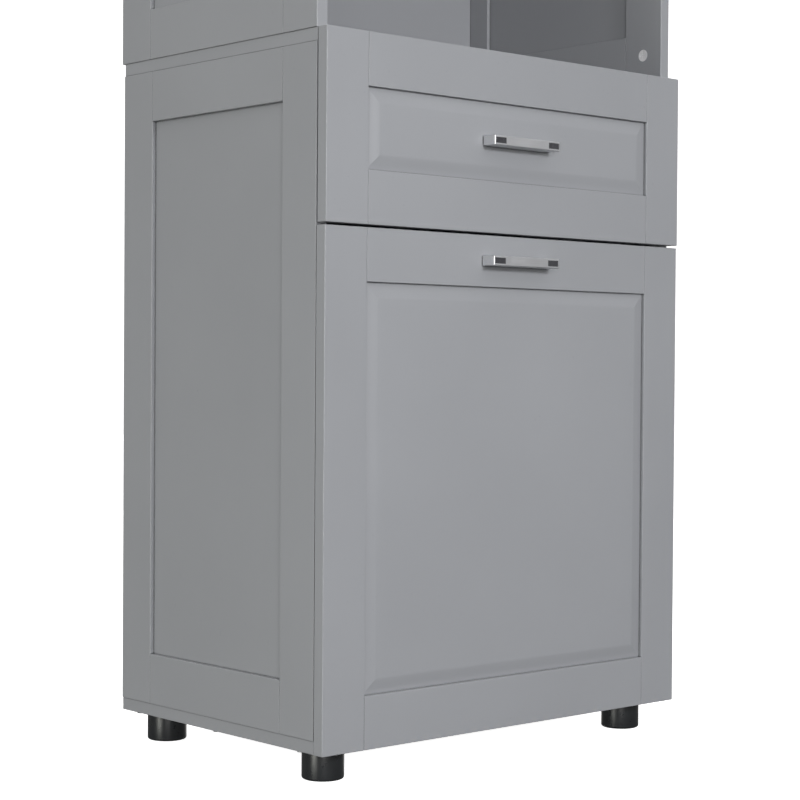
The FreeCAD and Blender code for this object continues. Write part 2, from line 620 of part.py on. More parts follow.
drawer_floor_z = drawer_z + DRAWER_FLOOR_LIFT
groove = DRAWER_WALL / 2
floor_room = block(-drawer_half + groove, drawer_half - groove, drawer_back + groove, box_rear,
                   drawer_floor_z, drawer_floor_z + DRAWER_FLOOR)
left_wall = board(-drawer_half, -drawer_half + DRAWER_WALL, drawer_back, box_rear, drawer_z, drawer_top)
left_box_screws = [screw(vec(-drawer_half - SLIDE_SHEET, y, slide_z), ACROSS, SLIDE_SCREW_RADIUS,
                         SLIDE_SCREW_BITE + SLIDE_SHEET, SLIDE_SCREW_HEAD_RADIUS, SLIDE_SCREW_HEAD)
                   for y in slide_screw_places]
front_screw_z = (max(drawer_z, drawer_front_z) + drawer_front_z + BAR) / 2
left_box_screws += [screw(vec(x, box_front, front_screw_z), -REARWARD, FRONT_SCREW_RADIUS,
                          FRONT_SCREW_BITE + DRAWER_WALL, SCREW_HEAD_RADIUS, SCREW_HEAD)
                    for x in (-0.8 * drawer_half, -0.3 * drawer_half)]
drawer_screws = [s for left in left_box_screws for s in both_sides(left)]
box_cuts = Part.makeCompound([floor_room, *drawer_screws, *drawer_pull_screws])
left_wall = left_wall.cut(box_cuts)
save("drawer_sides", both_sides(left_wall))
end_half = drawer_half - DRAWER_WALL
sub_front = board(-end_half, end_half, drawer_back, box_front, drawer_z, drawer_top).cut(box_cuts)
box_back = board(-end_half, end_half, box_rear - DRAWER_WALL, box_rear,
                 drawer_floor_z + DRAWER_FLOOR, drawer_top)
save("drawer_ends", [sub_front, box_back])
save("drawer_floor", [block(-drawer_half + groove + PANEL_PLAY, drawer_half - groove - PANEL_PLAY,
                            drawer_back + groove + PANEL_PLAY, box_rear,
                            drawer_floor_z, drawer_floor_z + DRAWER_FLOOR)])
front("drawer", -half, drawer_face, drawer_front_z, WIDTH, DRAWER_FRONT_HEIGHT,
      (grip, inserts, drawer_pull_screws), drawer_screws)
save("drawer_screws", drawer_screws + drawer_pull_screws)


# ---- Three-part slides, nested channels opening towards the drawer ----
def channel(x_web, x_tip, half_height, sheet, flange):
    """Upright C-section between the web's outer face and the flange tips."""
    way = 1 if x_tip > x_web else -1
    whole = block(min(x_web, x_tip), max(x_web, x_tip), slide_front, slide_front + slide_length,
                  slide_z - half_height, slide_z + half_height)
    web_inner = x_web + way * sheet
    room = block(min(web_inner, x_tip), max(web_inner, x_tip), slide_front, slide_front + slide_length,
                 slide_z - half_height + flange, slide_z + half_height - flange)
    return whole.cut(room)


slide_half = SLIDE_HEIGHT / 2
mid_half = slide_half - SLIDE_SHEET - SLIDE_PLAY
inner_half = mid_half - SLIDE_RACE - SLIDE_PLAY
slide_tip = -drawer_half - SLIDE_SHEET - SLIDE_TIP_PLAY
outer_member = channel(-inner, slide_tip, slide_half, SLIDE_SHEET, SLIDE_SHEET)
mid_web = -inner + SLIDE_SHEET + SLIDE_SCREW_HEAD + SLIDE_PLAY
mid_member = channel(mid_web, slide_tip, mid_half, SLIDE_SHEET, SLIDE_RACE)
inner_tip = mid_web + SLIDE_SHEET + SLIDE_PLAY
inner_member = channel(-drawer_half, inner_tip, inner_half, SLIDE_SHEET, SLIDE_SHEET)
slide_screw_cut = Part.makeCompound(left_slide_screws)
box_screw_cut = Part.makeCompound(left_box_screws)
save("slide_outer", both_sides(outer_member.cut(slide_screw_cut)))
save("slide_middle", both_sides(mid_member))
save("slide_inner", both_sides(inner_member.cut(box_screw_cut)))

# ---- Bin front and the bin holder behind it ----
bin_handle_z = bin_front_top - BAR / 2
grip, inserts, places = handle(0, bin_face, bin_handle_z)
bin_pull_screws = handle_screws(places, bin_face, bin_back - SCREW_HEAD)

cheek_x = inner - BIN_SIDE_CLEARANCE
bin_floor_z = floor_z + BIN_FLOOR_CLEARANCE
bin_rear = bin_back + BIN_DEPTH
cheek_rear_z = pin_z + (cheek_reach**2 - (bin_rear - pin_y)**2) ** 0.5
back_top_z = pin_z + (back_reach**2 - (bin_rear - pin_y)**2) ** 0.5
cheek_front_z = stop_rail_under - CATCH_HEIGHT - BIN_CHEEK_CLEARANCE
outline = [vec(-cheek_x, bin_back, bin_floor_z), vec(-cheek_x, bin_rear, bin_floor_z),
           vec(-cheek_x, bin_rear, cheek_rear_z),
           vec(-cheek_x, bin_back + BIN_CHEEK_SHOULDER, cheek_front_z),
           vec(-cheek_x, bin_back, cheek_front_z)]
cheek = rounded_prism(outline, vec(BIN_WALL, 0, 0), BIN_CHEEK_ROUND, ACROSS)
bin_inner = cheek_x - BIN_WALL
cleat_x = -bin_inner + CLEAT_WIDTH / 2
left_bin_screws = [screw(vec(cleat_x, bin_back + BIN_WALL, z), -REARWARD, FRONT_SCREW_RADIUS,
                         FRONT_SCREW_BITE + BIN_WALL, SCREW_HEAD_RADIUS, SCREW_HEAD)
                   for z in (bin_floor_z + CLEAT_SCREW_INSET, cheek_front_z - CLEAT_SCREW_INSET)]
cleat = board(-bin_inner, -bin_inner + CLEAT_WIDTH, bin_back, bin_back + BIN_WALL,
              bin_floor_z + BIN_WALL, cheek_front_z - CLEAT_TOP_GAP)
bin_screw_pairs = [s for left in left_bin_screws for s in both_sides(left)]
bin_screw_cut = Part.makeCompound(bin_screw_pairs)
save("bin_cheeks", both_sides(cheek) + both_sides(cleat.cut(bin_screw_cut)))
save("bin_floor", [board(-bin_inner, bin_inner, bin_back, bin_rear - BIN_WALL,
                         bin_floor_z, bin_floor_z + BIN_WALL)])
save("bin_back", [board(-bin_inner, bin_inner, bin_rear - BIN_WALL, bin_rear, bin_floor_z, back_top_z)])
front("bin", -half, bin_face, base_z, WIDTH, bin_front_top - base_z,
      (grip, inserts, bin_pull_screws), door_hinge_screws + bin_screw_pairs, hinge_rooms)
bin_strike = strike(0, bin_back, stop_rail_under)
save("bin_screws", bin_screw_pairs + bin_pull_screws + door_hinge_screws + [bin_strike])

# ---- Cupboard doors ----
door_z = bay_top + PIVOT_DOOR_CLEARANCE
door_height = top_z - PIVOT_DOOR_CLEARANCE - door_z
pull_x = -REVEAL / 2 - BAR / 2
pull_z = door_z + BAR + DOOR_PULL_RISE + HANDLE_LENGTH / 2
bore_depth = PIVOT_PIN_LENGTH + PIVOT_BORE_SPARE
left_pivot_bores = [rod(PIVOT_PIN_RADIUS + PIVOT_PLAY, vec(-pivot_x, pivot_y, z), UP, bore_depth)
                    for z in (bay_top, top_z - bore_depth)]
for name, side in (("left_door", 1), ("right_door", -1)):
    grip, inserts, places = handle(side * pull_x, door_face, pull_z, turn=-90 * side)
    pull_screws = handle_screws(places, door_face, door_back - SCREW_HEAD)
    x0 = -half if side > 0 else REVEAL / 2
    bores = left_pivot_bores if side > 0 else [mirrored(bore) for bore in left_pivot_bores]
    front(name, x0, door_face, door_z, door_width, door_height, (grip, inserts, pull_screws), bores)
    strike_x = side * (-REVEAL / 2 - CATCH_WIDTH / 4)
    save(name + "_screws", [*pull_screws, strike(strike_x, door_back, top_under)])
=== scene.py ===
import math

import bpy
import numpy as np
from mathutils import Matrix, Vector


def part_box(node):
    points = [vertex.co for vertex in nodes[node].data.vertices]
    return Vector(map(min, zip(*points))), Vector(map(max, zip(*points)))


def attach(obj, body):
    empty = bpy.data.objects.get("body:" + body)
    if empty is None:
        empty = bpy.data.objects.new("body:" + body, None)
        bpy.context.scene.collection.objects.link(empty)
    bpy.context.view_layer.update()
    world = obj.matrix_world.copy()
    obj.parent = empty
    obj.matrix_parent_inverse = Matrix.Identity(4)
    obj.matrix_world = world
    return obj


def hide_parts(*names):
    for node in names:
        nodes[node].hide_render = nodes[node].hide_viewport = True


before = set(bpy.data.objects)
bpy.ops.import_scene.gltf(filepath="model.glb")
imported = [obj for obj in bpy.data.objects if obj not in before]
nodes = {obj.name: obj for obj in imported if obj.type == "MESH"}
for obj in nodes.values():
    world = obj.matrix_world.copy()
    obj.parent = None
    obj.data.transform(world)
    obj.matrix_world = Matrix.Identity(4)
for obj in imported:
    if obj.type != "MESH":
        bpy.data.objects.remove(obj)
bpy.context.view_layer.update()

# ---------------------------------------------------------------------------
# The feet: four short round feet of black moulded plastic, with a small radius
# at the floor and a shallow dish in the sole. One screw from below, in a sunk
# hole, holds each to the bottom board.
# ---------------------------------------------------------------------------
FOOT_RADIUS = 0.024
FOOT_EDGE = 0.003                                 # rounding at the floor
FOOT_TOP_EDGE = 0.0008
FOOT_WEB = 0.012                                  # plastic over the screw's head
SOLE_DISH = 0.0004                                # depth of the hollow in the sole
SOLE_STEP = 0.0015                                # width over which the hollow ends
SOLE_RIM = 0.0025                                 # flat ring that stands on the floor
SINK_RADIUS = 0.0055
SINK_EDGE = 0.0006
BORE_RADIUS = 0.0022
FOOT_TURNS = 128
FOOT_BLACK = (0.010, 0.011, 0.012)
FOOT_SCUFFED = (0.018, 0.020, 0.022)


def turned(profile, turns, centre=(0, 0, 0)):
    """A closed profile of (radius, height) rows turned about an upright axis.

    Point (i, j) is profile row i at the angle 2 pi j / turns round centre. Quads join
    neighbouring rows and neighbouring angles, and the last row joins the first."""
    rows = np.asarray(profile, float)
    angle = 2 * np.pi * np.arange(turns) / turns
    x = rows[:, :1] * np.cos(angle)
    y = rows[:, :1] * np.sin(angle)
    z = np.repeat(rows[:, 1:], turns, axis=1)
    points = np.stack([x, y, z], axis=-1).reshape(-1, 3) + centre
    i, j = np.meshgrid(np.arange(len(rows)), np.arange(turns), indexing="ij")
    below, beside = (i + 1) % len(rows), (j + 1) % turns
    quads = np.stack([i * turns + j, i * turns + beside, below * turns + beside, below * turns + j], axis=-1)
    return points, quads.reshape(-1, 4)


def arc(centre, radius, start, end, steps=8):
    """Rows on a circle of that radius round centre, from start to end degrees."""
    angle = np.radians(np.linspace(start, end, steps))
    return np.stack([centre[0] + radius * np.cos(angle), centre[1] + radius * np.sin(angle)], axis=-1)


def gathered(name, parts, crease=35):
    """One object from several (points, quads) parts, smooth where faces meet gently."""
    counts = np.cumsum([0] + [len(points) for points, _ in parts[:-1]])
    points = np.concatenate([points for points, _ in parts])
    quads = np.concatenate([quads + start for (_, quads), start in zip(parts, counts)])
    mesh = bpy.data.meshes.new(name)
    mesh.from_pydata(points.tolist(), [], quads.tolist())
    mesh.validate()
    mesh.shade_smooth()
    mesh.set_sharp_from_angle(angle=math.radians(crease))
    piece = bpy.data.objects.new(name, mesh)
    bpy.context.scene.collection.objects.link(piece)
    return piece


class Recipe:
    """A material being put together: its node tree, with short ways to add to it."""

    def __init__(self, name):
        self.material = bpy.data.materials.new(name)
        self.material.use_nodes = True
        self.tree = self.material.node_tree
        self.shader = self.tree.nodes["Principled BSDF"]

    def node(self, kind, **settings):
        """A new node of that kind with its properties set."""
        made = self.tree.nodes.new(kind)
        for key, value in settings.items():
            setattr(made, key, value)
        return made

    def join(self, source, target):
        self.tree.links.new(source, target)

    def place(self, shift=(0, 0, 0), scale=(1, 1, 1)):
        """The object's own coordinates, stretched by scale and then shifted."""
        coordinates = self.node("ShaderNodeTexCoord")
        mapping = self.node("ShaderNodeMapping")
        mapping.inputs["Location"].default_value = shift
        mapping.inputs["Scale"].default_value = scale
        self.join(coordinates.outputs["Object"], mapping.inputs["Vector"])
        return mapping.outputs["Vector"]

    def noise(self, where, scale, detail=3.0, rough=0.5):
        """Cloudy noise from 0 to 1, with about scale lumps to the metre."""
        made = self.node("ShaderNodeTexNoise")
        made.inputs["Scale"].default_value = scale
        made.inputs["Detail"].default_value = detail
        made.inputs["Roughness"].default_value = rough
        self.join(where, made.inputs["Vector"])
        return made.outputs["Fac"]

    def spread(self, value, low, high, out_low, out_high):
        """value, taken from the range low to high on to out_low to out_high."""
        made = self.node("ShaderNodeMapRange")
        for key, number in (("From Min", low), ("From Max", high), ("To Min", out_low), ("To Max", out_high)):
            made.inputs[key].default_value = number
        self.join(value, made.inputs["Value"])
        return made.outputs["Result"]

    def swing(self, lumps, out_low, out_high):
        """Noise, which mostly lies from 0.3 to 0.7, taken on to out_low to out_high."""
        return self.spread(lumps, 0.3, 0.7, out_low, out_high)

    def painted_joint_shade(self, reach):
        """Painted shade: 1 deep in a joint narrower than the reach and 0 in the open, by occlusion.

        It fades on faces that look up, because light from above finds them."""
        hemmed = self.node("ShaderNodeAmbientOcclusion")
        hemmed.samples = 6
        hemmed.inputs["Distance"].default_value = reach
        depth = self.spread(hemmed.outputs["AO"], 0.3, 0.9, 1.0, 0.0)
        upward = self.node("ShaderNodeSeparateXYZ")
        self.join(self.node("ShaderNodeNewGeometry").outputs["Normal"], upward.inputs["Vector"])
        return self.combine(depth, self.spread(upward.outputs["Z"], 0.1, 0.6, 1.0, 0.1), "MULTIPLY")

    def blend(self, amount, first, second):
        """first where amount is 0 and second where it is 1, each a colour or a socket."""
        made = self.node("ShaderNodeMix", data_type="RGBA")
        self.join(amount, made.inputs["Factor"])
        for socket, colour in ((made.inputs["A"], first), (made.inputs["B"], second)):
            if isinstance(colour, tuple):
                socket.default_value = (*colour, 1)
            else:
                self.join(colour, socket)
        return made.outputs["Result"]

    def combine(self, first, second, operation="ADD"):
        """Two sockets or numbers put through one operation, which adds them by default."""
        made = self.node("ShaderNodeMath", operation=operation)
        for socket, value in zip(made.inputs, (first, second)):
            if isinstance(value, (int, float)):
                socket.default_value = value
            else:
                self.join(value, socket)
        return made.outputs["Value"]

    def bump(self, height, distance, strength):
        """Tilts the shading as if height, from 0 to 1, rose that distance in metres."""
        made = self.node("ShaderNodeBump")
        made.inputs["Strength"].default_value = strength
        made.inputs["Distance"].default_value = distance
        self.join(height, made.inputs["Height"])
        self.join(made.outputs["Normal"], self.shader.inputs["Normal"])

    def colour(self, source):
        self.join(source, self.shader.inputs["Base Color"])

    def roughness(self, source):
        self.join(source, self.shader.inputs["Roughness"])

    def settle(self, **values):
        """Uniform values, set straight on the shader's sockets."""
        for key, value in values.items():
            self.shader.inputs[key.replace("_", " ")].default_value = value


def shade(colour, factor):
    """The colour made lighter or darker by a factor."""
    return tuple(channel * factor for channel in colour)


feet_low, feet_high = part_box("feet")
foot_top = feet_high[2]
flat_from = FOOT_RADIUS - FOOT_EDGE - SOLE_RIM
foot_profile = np.concatenate([
    [(BORE_RADIUS, foot_top), (BORE_RADIUS, foot_top - FOOT_WEB), (SINK_RADIUS, foot_top - FOOT_WEB)],
    arc((SINK_RADIUS + SINK_EDGE, SINK_EDGE + SOLE_DISH), SINK_EDGE, 180, 270, 5),
    [(flat_from - SOLE_STEP, SOLE_DISH), (flat_from, 0.0)],
    arc((FOOT_RADIUS - FOOT_EDGE, FOOT_EDGE), FOOT_EDGE, -90, 0),
    arc((FOOT_RADIUS - FOOT_TOP_EDGE, foot_top - FOOT_TOP_EDGE), FOOT_TOP_EDGE, 0, 90, 5)])
feet = gathered("moulded_feet", [
    turned(foot_profile, FOOT_TURNS, (x, y, 0))
    for x in (feet_low[0] + FOOT_RADIUS, feet_high[0] - FOOT_RADIUS)
    for y in (feet_low[1] + FOOT_RADIUS, feet_high[1] - FOOT_RADIUS)])
black = Recipe("foot_black")
where = black.place()
black.colour(black.blend(black.noise(where, 40.0, 4.0), FOOT_BLACK, FOOT_SCUFFED))
black.roughness(black.swing(black.noise(where, 90.0, 5.0), 0.26, 0.34))
black.bump(black.noise(where, 1400.0, 1.0), 0.00003, 0.5)
feet.data.materials.append(black.material)
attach(feet, "cabinet")
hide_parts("feet")

# ---------------------------------------------------------------------------
# The carcass boards: 15 mm fibreboard, edges eased, sprayed a satin grey with a
# faint orange peel, a cloudy tone and a little dust in it. Screws and cams draw
# the boards to the side frames.
# ---------------------------------------------------------------------------
GREY = (0.268, 0.275, 0.291)
CLOUDS, GLOSS_PATCHES, SPECKS = 3.5, 18.0, 210.0  # lumps to the metre
SPECK_FROM, SPECK_FULL = 0.69, 0.78               # only the highest peaks are specks of dust
PEEL, FINE_PEEL = 420.0, 1500.0                   # lumps to the metre
PEEL_DEPTH = 0.00004
JOINT_SHADE_REACH = 0.0026                              # painted shade darkens joints narrower than this
# share of the paint's tone left deepest in the painted shade of joints
JOINT_SHADE_TONE = 0.1


def sprayed_grey(name, tone, batch):
    """Satin paint over fibreboard: cloudy tone, dust specks, painted shade in joints, patchy gloss and a fine
    peel.
    """
    paint = Recipe(name)
    where = paint.place(shift=(batch * 3.7, batch * 1.9, batch * 0.7))  # no two batches alike
    colour = shade(GREY, tone)
    cloud = paint.swing(paint.noise(where, CLOUDS, 4.0), 0.0, 1.0)
    body = paint.blend(cloud, shade(colour, 0.97), shade(colour, 1.03))
    speck = paint.spread(paint.noise(where, SPECKS, 2.0), SPECK_FROM, SPECK_FULL, 0.0, 0.3)
    coated = paint.blend(speck, body, shade(colour, 0.8))
    # Painted shade: occlusion darkens the paint in joints and corners, less on faces that look up.
    paint.colour(paint.blend(paint.painted_joint_shade(JOINT_SHADE_REACH), coated, shade(colour, JOINT_SHADE_TONE)))
    paint.roughness(paint.swing(paint.noise(where, GLOSS_PATCHES, 5.0, 0.6), 0.36, 0.48))
    peel = paint.combine(paint.noise(where, PEEL, 2.0), paint.noise(where, FINE_PEEL, 1.0))
    paint.bump(peel, PEEL_DEPTH, 0.5)
    return paint.material


def coat(material, *names):
    """Gives carried-over nodes their one material."""
    for name in names:
        mesh = nodes[name].data
        mesh.materials.clear()
        mesh.materials.append(material)


coat(sprayed_grey("board_grey", 1.0, 1), "bottom_board", "counter_board", "divider_board", "stop_rail",
     "fixed_shelf", "top_board", "loose_shelf")

# ---------------------------------------------------------------------------
# The side frames: two stiles with two rails between them, and a thin flat panel
# let into grooves. They are glued up first and sprayed whole.
# ---------------------------------------------------------------------------
frame_paint = sprayed_grey("side_frame_grey", 1.0, 2)
panel_paint = sprayed_grey("side_panel_grey", 0.985, 3)
for level in ("lower", "upper"):
    for side in ("left", "right"):
        coat(frame_paint, f"{level}_frame_{side}")
        coat(panel_paint, f"{level}_panel_{side}")

# ---------------------------------------------------------------------------
# The back sheets: 3 mm hardboard, sprayed on the face that shows and left raw
# and brown on the wall side. They slide in grooves in the rear stiles.
# ---------------------------------------------------------------------------
HARDBOARD = (0.22, 0.125, 0.066)
SHEET_MIDDLE = sum(corner[1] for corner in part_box("lower_back")) / 2

sheet = Recipe("hardboard_back")
where = sheet.place()
across = sheet.node("ShaderNodeSeparateXYZ")
sheet.join(where, across.inputs["Vector"])
wall_side = sheet.combine(across.outputs["Y"], SHEET_MIDDLE, "GREATER_THAN")
felt = sheet.noise(sheet.place(scale=(1, 1, 1.6)), 160.0, 6.0, 0.7)
fibre = sheet.noise(sheet.place(scale=(2.5, 1, 0.6)), 60.0, 8.0, 0.75)
raw = sheet.blend(sheet.spread(sheet.combine(felt, fibre), 0.7, 1.3, 0.0, 1.0),
                  shade(HARDBOARD, 0.7), shade(HARDBOARD, 1.3))
cloud = sheet.swing(sheet.noise(where, 3.0, 3.0), 0.0, 1.0)
sprayed = sheet.blend(cloud, shade(GREY, 0.98), shade(GREY, 1.04))
sheet.colour(sheet.blend(wall_side, sprayed, raw))
sheet.roughness(sheet.spread(wall_side, 0, 1, 0.46, 0.82))
sheet.bump(felt, 0.0001, 0.4)
coat(sheet.material, "lower_back", "upper_back")

# ---------------------------------------------------------------------------
# Small steel: zinc-plated screws, bolts, pins, slides, hinges, pivot plates and
# wall brackets. The plating is cloudy, with a fine rolled grain along its length.
# ---------------------------------------------------------------------------
ZINC = (0.60, 0.62, 0.65)
BRIGHT_ZINC = (0.72, 0.73, 0.75)
SHEET_CRYSTALS, SCREW_CRYSTALS = 70.0, 260.0      # to the metre


def zinc_plate(name, colour, rough_low, rough_high, spangle):
    """Plated steel: grown zinc crystals under a fine rolled grain."""
    plate = Recipe(name)
    crystals = plate.node("ShaderNodeTexVoronoi")
    crystals.inputs["Scale"].default_value = spangle
    plate.join(plate.place(), crystals.inputs["Vector"])
    grey_of = plate.node("ShaderNodeRGBToBW")
    plate.join(crystals.outputs["Color"], grey_of.inputs["Color"])
    plate.colour(plate.blend(grey_of.outputs["Val"], shade(colour, 0.86), shade(colour, 1.08)))
    rolled = plate.noise(plate.place(scale=(60, 1.5, 60)), 12.0, 4.0)
    plate.roughness(plate.swing(rolled, rough_low, rough_high))
    plate.bump(rolled, 0.00003, 0.35)
    plate.settle(Metallic=1.0)
    return plate.material


coat(zinc_plate("zinc_plate", ZINC, 0.28, 0.42, SHEET_CRYSTALS), "slide_outer", "slide_middle", "slide_inner",
     "hinge_leaves_fixed", "hinge_leaves_bin", "pivot_plates", "wall_brackets")
coat(zinc_plate("bright_zinc", BRIGHT_ZINC, 0.2, 0.32, SCREW_CRYSTALS), "base_screws", "cam_bolts",
     "slide_screws", "carcass_screws", "drawer_screws", "bin_screws", "left_door_screws", "right_door_screws",
     "shelf_pins")

# ---------------------------------------------------------------------------
# The cam discs: die-cast zinc, one in each stile end, with a cross recess for
# the driver. Each grips the neck of a bolt out of the neighbouring board.
# ---------------------------------------------------------------------------
CAST_ZINC = (0.74, 0.74, 0.75)
CAST_SHINE = (0.90, 0.90, 0.91)

cast = Recipe("cast_cam")
where = cast.place()
cast.colour(cast.blend(cast.noise(where, 500.0, 3.0), CAST_ZINC, CAST_SHINE))
cast.roughness(cast.swing(cast.noise(where, 300.0, 4.0), 0.42, 0.6))
cast.bump(cast.noise(where, 900.0, 2.0), 0.00005, 0.4)
cast.settle(Metallic=0.35)
coat(cast.material, "cam_locks")

# ---------------------------------------------------------------------------
# The drawer box: melamine-faced board, pale grey with fine threads pressed in,
# and a thin floor in a groove. It hangs on the slides' inner members.
# ---------------------------------------------------------------------------
MELAMINE = (0.50, 0.51, 0.53)

faced = Recipe("drawer_melamine")
threads = faced.combine(faced.noise(faced.place(scale=(1, 30, 30)), 60.0, 2.0),
                       faced.noise(faced.place(scale=(30, 1, 1)), 60.0, 2.0))
weave = faced.spread(threads, 0.7, 1.3, 0.0, 1.0)
faced.colour(faced.blend(weave, shade(MELAMINE, 0.95), shade(MELAMINE, 1.04)))
faced.roughness(faced.spread(threads, 0.7, 1.3, 0.42, 0.56))
faced.bump(threads, 0.00004, 0.4)
coat(faced.material, "drawer_sides", "drawer_ends", "drawer_floor")

# ---------------------------------------------------------------------------
# The bin holder: two cheeks, a floor and a back of 12 mm board, sprayed like the
# carcass. Cleats screw the cheeks to the back of the bin front.
# ---------------------------------------------------------------------------
coat(sprayed_grey("bin_holder_grey", 0.97, 4), "bin_cheeks", "bin_floor", "bin_back")

# ---------------------------------------------------------------------------
# The fronts: the drawer's, the bin's and the two doors'. Each has two stiles
# with rails between them round a raised panel whose bevel climbs softly to a
# level field. They are sprayed one by one, so their tones differ a hair.
# ---------------------------------------------------------------------------
FRONT_TONES = {"drawer": 1.0, "bin": 1.01, "left_door": 1.0, "right_door": 0.99}
FRONT_BODIES = {"drawer": "drawer", "bin": "bin_front", "left_door": "left_door", "right_door": "right_door"}
TONGUE = 0.006                                    # panel thickness in its groove
TONGUE_REACH = 0.0075                             # tongue's rim to the bars' inner edges
BEVEL = 0.020                                     # width of the bevel
BEVEL_STEPS = 14
FIELD_CREASE = 6                                  # degrees: corners of the bevel stay sharp


def raised_panel(low, high):
    """Nested rectangles, each inset further from the panel's rim, at a height above the tongue.

    Height is 0 on the tongue and rise (3 t^2 - 2 t^3) on the bevel, with t from 0 to 1 across
    it, so the bevel leaves the tongue and meets the level field softly. A back face closes it."""
    rise = high[1] - low[1] - TONGUE
    t = np.linspace(0, 1, BEVEL_STEPS)
    inset = np.concatenate([[0.0, 0.0], TONGUE_REACH + BEVEL * t])
    height = np.concatenate([[-TONGUE, 0.0], rise * (3 * t**2 - 2 * t**3)])
    across, up = np.array([(0, 0), (1, 0), (1, 1), (0, 1)]).T
    inset = inset[:, None]
    x = low[0] + inset + across * (high[0] - low[0] - 2 * inset)
    z = low[2] + inset + up * (high[2] - low[2] - 2 * inset)
    y = np.repeat((high[1] - TONGUE - height)[:, None], 4, axis=1)
    points = np.stack([x, y, z], axis=-1).reshape(-1, 3)
    ring, corner = np.meshgrid(np.arange(len(inset) - 1), np.arange(4), indexing="ij")
    beside = (corner + 1) % 4
    near, far = ring * 4, ring * 4 + 4
    quads = np.stack([near + corner, near + beside, far + beside, far + corner], axis=-1)
    last = 4 * (len(inset) - 1)
    caps = [[3, 2, 1, 0], [last, last + 1, last + 2, last + 3]]
    return points, np.concatenate([quads.reshape(-1, 4), caps])


for batch, (front, tone) in enumerate(FRONT_TONES.items()):
    coat(sprayed_grey(front + "_frame_grey", tone, 5 + batch), front + "_frame")
    raised = gathered(front + "_raised_panel", [raised_panel(*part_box(front + "_panel"))], crease=FIELD_CREASE)
    raised.data.materials.append(sprayed_grey(front + "_panel_grey", tone * 1.005, 9 + batch))
    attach(raised, FRONT_BODIES[front])
    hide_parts(front + "_panel")

# ---------------------------------------------------------------------------
# The handles: square pulls of satin nickel with a dark gloss inlay let into
# each end of the face. Two machine screws hold each from behind the front.
# ---------------------------------------------------------------------------
NICKEL = (0.62, 0.625, 0.645)
NICKEL_SHINE = (0.75, 0.755, 0.775)
INLAY_BLACK = (0.026, 0.026, 0.030)
INLAY_GREY = (0.048, 0.048, 0.054)
ALONG, ACROSS = 4, 160                            # the brushing's grain is this much finer across


def satin_nickel(name, grain):
    """Nickel brushed along the grip, with faint smudges from fingers."""
    metal = Recipe(name)
    brushed = metal.noise(metal.place(scale=grain), 8.0, 6.0, 0.6)
    smudge = metal.noise(metal.place(), 55.0, 3.0)
    metal.colour(metal.blend(brushed, NICKEL, NICKEL_SHINE))
    streaks = metal.swing(brushed, 0.35, 0.46)
    metal.roughness(metal.combine(streaks, metal.spread(smudge, 0.4, 0.7, 0.0, 0.08)))
    metal.bump(brushed, 0.00001, 0.3)
    metal.settle(Metallic=1.0)
    return metal.material


flat_nickel = satin_nickel("nickel_brushed_flat", (ALONG, ACROSS, ACROSS))
upright_nickel = satin_nickel("nickel_brushed_upright", (ACROSS, ACROSS, ALONG))
inlay = Recipe("dark_inlay")
where = inlay.place()
inlay.colour(inlay.blend(inlay.noise(where, 120.0), INLAY_BLACK, INLAY_GREY))
inlay.roughness(inlay.swing(inlay.noise(where, 260.0), 0.16, 0.3))
for front, metal in (("drawer", flat_nickel), ("bin", flat_nickel), ("left_door", upright_nickel),
                     ("right_door", upright_nickel)):
    coat(metal, front + "_handle")
    coat(inlay.material, front + "_handle_inserts")

# ---------------------------------------------------------------------------
# The magnetic catches: white moulded cases screwed under the stop rail and the
# top board. A steel strike plate on each front meets them.
# ---------------------------------------------------------------------------
CASE_WHITE = (0.60, 0.60, 0.58)
CASE_PALE = (0.68, 0.68, 0.66)

case = Recipe("catch_white")
where = case.place()
case.colour(case.blend(case.noise(where, 80.0), CASE_WHITE, CASE_PALE))
case.roughness(case.swing(case.noise(where, 220.0), 0.4, 0.55))
case.bump(case.noise(where, 1200.0), 0.00003, 0.5)
coat(case.material, "magnet_catches")

# ---------------------------------------------------------------------------
# The bumpers: clear soft domes stuck near the corners of each front's back, so
# that it closes quietly on the side frames' edges.
# ---------------------------------------------------------------------------
BUMPER_RADIUS = 0.004
BUMPER_AIR = 0.0002                               # dome's top to the carcass
BUMPER_TIP = 0.0001                               # radius of the pinhole on the axis
BUMPER_FROM_END = 0.045
BUMPER_TURNS = 32
GEL = (0.50, 0.51, 0.52)
GEL_PALE = (0.60, 0.61, 0.62)
side_low, side_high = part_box("lower_frame_left")
stile_middle = (side_high[0] - side_low[0]) / 2


def bumper(x, z, back_y):
    """A dome standing on a front's back at back_y: radius r cos a and height h sin a,
    with a from 0 to 90 degrees and h just short of the carcass."""
    height = side_low[1] - back_y - BUMPER_AIR
    angle = np.radians(np.linspace(0, 88, 8))
    dome = np.stack([BUMPER_RADIUS * np.cos(angle), height * np.sin(angle)], axis=-1)
    points, quads = turned(np.concatenate([dome[::-1], [(BUMPER_TIP, 0.0)]]), BUMPER_TURNS)
    return points[:, [0, 2, 1]] + (x, back_y, z), quads


gel = Recipe("bumper_gel")
where = gel.place()
gel.colour(gel.blend(gel.noise(where, 200.0), GEL, GEL_PALE))
gel.roughness(gel.swing(gel.noise(where, 300.0), 0.25, 0.4))
gel.settle(Subsurface_Weight=0.2)
for front, body in FRONT_BODIES.items():
    low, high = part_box(front + "_frame")
    edges = [x for x, wanted in ((low[0] + stile_middle, front != "right_door"),
                                 (high[0] - stile_middle, front != "left_door")) if wanted]
    domes = gathered(front + "_bumpers", [bumper(x, z, high[1]) for x in edges
                                          for z in (low[2] + BUMPER_FROM_END, high[2] - BUMPER_FROM_END)])
    domes.data.materials.append(gel.material)
    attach(domes, body)

